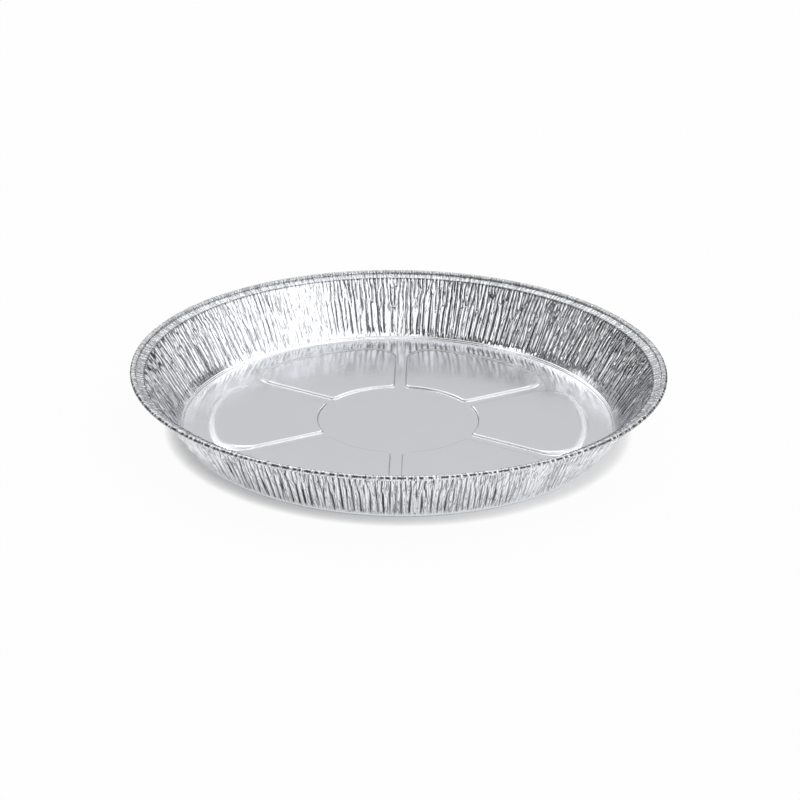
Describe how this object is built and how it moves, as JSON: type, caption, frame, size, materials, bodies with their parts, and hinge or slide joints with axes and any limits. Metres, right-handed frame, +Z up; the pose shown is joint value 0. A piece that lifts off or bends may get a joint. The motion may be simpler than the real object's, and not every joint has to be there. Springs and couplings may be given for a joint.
{
  "type": "foil pie tin",
  "caption": "Shallow round baking tin pressed from thin aluminium foil, with a pleated sloping wall, a crimped flange, a rolled bead rim and raised pads in the base.",
  "frame": {"origin": "centre of the tin's underside, in the plane that it rests on", "axes": "+Z up out of the tin, along the axis of its round rim; +X through the middle of one raised pad"},
  "size_m": [0.232, 0.232, 0.028],
  "materials": {
    "foil": "bright rolled foil, softly mirror-like, creased in the wall"
  },
  "bodies": {
    "root": {"pie_tin": "foil"}
  },
  "joints": []
}
